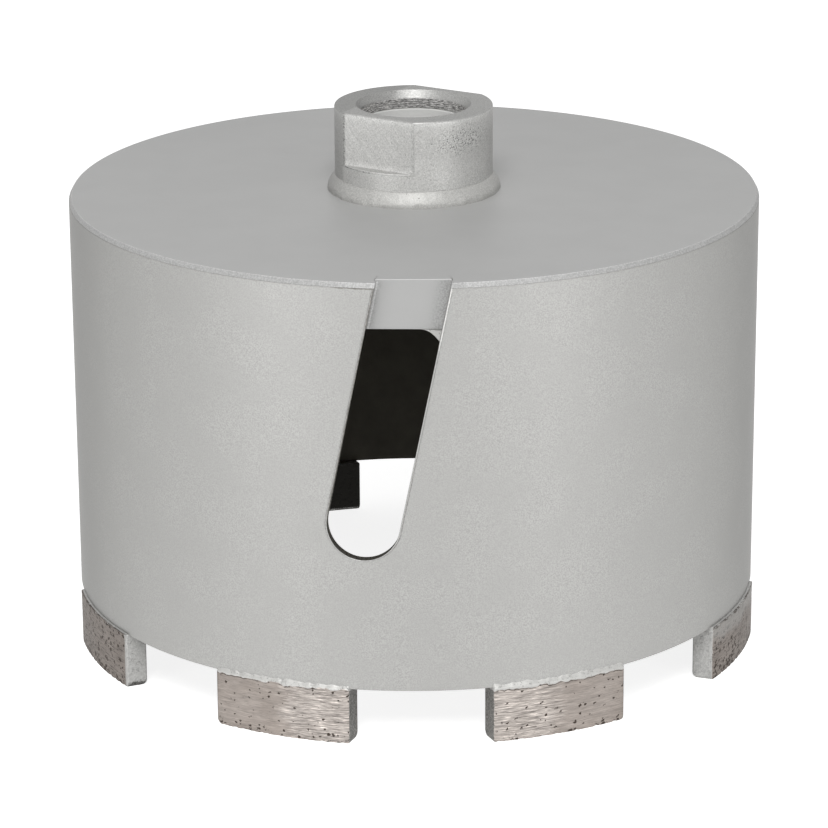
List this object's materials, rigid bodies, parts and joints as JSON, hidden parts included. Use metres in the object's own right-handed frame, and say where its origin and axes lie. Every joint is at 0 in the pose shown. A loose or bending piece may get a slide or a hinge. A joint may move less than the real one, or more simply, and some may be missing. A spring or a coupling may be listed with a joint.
{
  "type": "diamond core bit",
  "caption": "Short wide dry core bit: slotted steel barrel with end plate, threaded hub with wrench flats, and segments round the cutting rim.",
  "frame": {"origin": "on the bit's axis, level with the segments' tips", "axes": "+Z along the axis from the cutting end to the hub; -Y through the gap between two segments, where the first slot ends; the second slot is opposite"},
  "size_m": [0.131, 0.131, 0.1034],
  "materials": {
    "silver_paint": "matt silver paint on steel",
    "segment_matrix": "ground sintered metal with small pits",
    "bare_thread": "bare machined steel"
  },
  "bodies": {
    "root": {"barrel_tube": "silver_paint", "end_plate": "silver_paint", "threaded_hub": "silver_paint", "hub_weld_bead": "silver_paint", "plate_weld_1": "silver_paint", "plate_weld_2": "silver_paint", "segment_1": "segment_matrix", "segment_2": "segment_matrix", "segment_3": "segment_matrix", "segment_4": "segment_matrix", "segment_5": "segment_matrix", "segment_6": "segment_matrix", "segment_7": "segment_matrix", "segment_8": "segment_matrix"}
  },
  "joints": []
}
